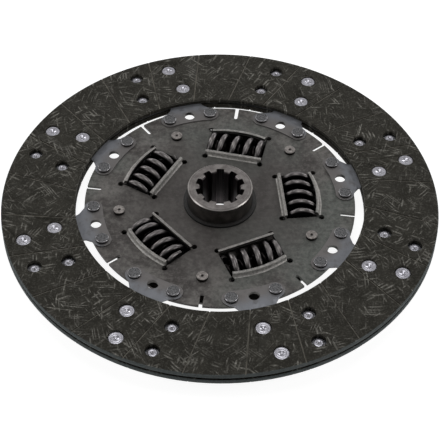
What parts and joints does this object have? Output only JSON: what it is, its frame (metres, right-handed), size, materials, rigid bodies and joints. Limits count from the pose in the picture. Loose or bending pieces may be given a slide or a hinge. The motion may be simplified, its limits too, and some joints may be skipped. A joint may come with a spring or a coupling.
{
  "type": "clutch disc",
  "caption": "Dry clutch disc: two riveted friction rings on cushion segments, a torsion damper with coil springs in lipped windows, and a splined hub.",
  "frame": {"origin": "centre of the hub's rear end face, on the shaft axis", "axes": "+Z along the shaft towards the side with the segment feet and rivet heads; +X and +Y in the disc's plane, with a cushion segment's foot 15.3 degrees round from +X"},
  "size_m": [0.31, 0.31, 0.0365],
  "materials": {
    "facing": "wound-yarn friction material, dark olive grey, dry and matt",
    "plate": "phosphated sheet steel, dark brown grey",
    "segment_steel": "tempered strip steel, blue grey",
    "segment_rivet": "steel rivet, dull",
    "facing_rivet": "plated tubular rivet, silvery",
    "spring_steel": "black lacquered spring steel, glossy",
    "pin_steel": "steel pin, dull",
    "hub_steel": "machined forging, grey",
    "washer_steel": "spring steel washer",
    "friction_polymer": "moulded friction polymer, dark"
  },
  "bodies": {
    "hub_body": {"hub": "hub_steel"},
    "disc": {"front_facing": "facing", "rear_facing": "facing", "cushion_segment_1": "segment_steel", "cushion_segment_2": "segment_steel", "cushion_segment_3": "segment_steel", "cushion_segment_4": "segment_steel", "cushion_segment_5": "segment_steel", "cushion_segment_6": "segment_steel", "cushion_segment_7": "segment_steel", "cushion_segment_8": "segment_steel", "drive_plate": "plate", "cover_plate": "plate", "segment_rivets": "segment_rivet", "front_facing_rivets": "facing_rivet", "rear_facing_rivets": "facing_rivet", "stop_pin_1": "pin_steel", "stop_pin_2": "pin_steel", "stop_pin_3": "pin_steel", "stop_pin_4": "pin_steel", "stop_pin_5": "pin_steel", "damper_spring_outer_1": "spring_steel", "damper_spring_outer_2": "spring_steel", "damper_spring_outer_3": "spring_steel", "damper_spring_outer_4": "spring_steel", "damper_spring_outer_5": "spring_steel", "damper_spring_inner_1": "spring_steel", "damper_spring_inner_2": "spring_steel", "damper_spring_inner_3": "spring_steel", "damper_spring_inner_4": "spring_steel", "damper_spring_inner_5": "spring_steel", "friction_bush": "friction_polymer", "rear_friction_ring": "friction_polymer", "support_ring": "washer_steel", "disc_spring": "washer_steel"}
  },
  "joints": [
    {"name": "damper_twist", "type": "hinge", "parent": "hub_body", "child": "disc", "pos_m": [0, 0, 0.0136], "axis": [0, 0, 1], "range_deg": [-9.5, 4], "stiffness_Nm_per_rad": 400, "deforming": ["damper_spring_outer_1", "damper_spring_outer_2", "damper_spring_outer_3", "damper_spring_outer_4", "damper_spring_outer_5", "damper_spring_inner_1", "damper_spring_inner_2", "damper_spring_inner_3", "damper_spring_inner_4", "damper_spring_inner_5"]}
  ]
}
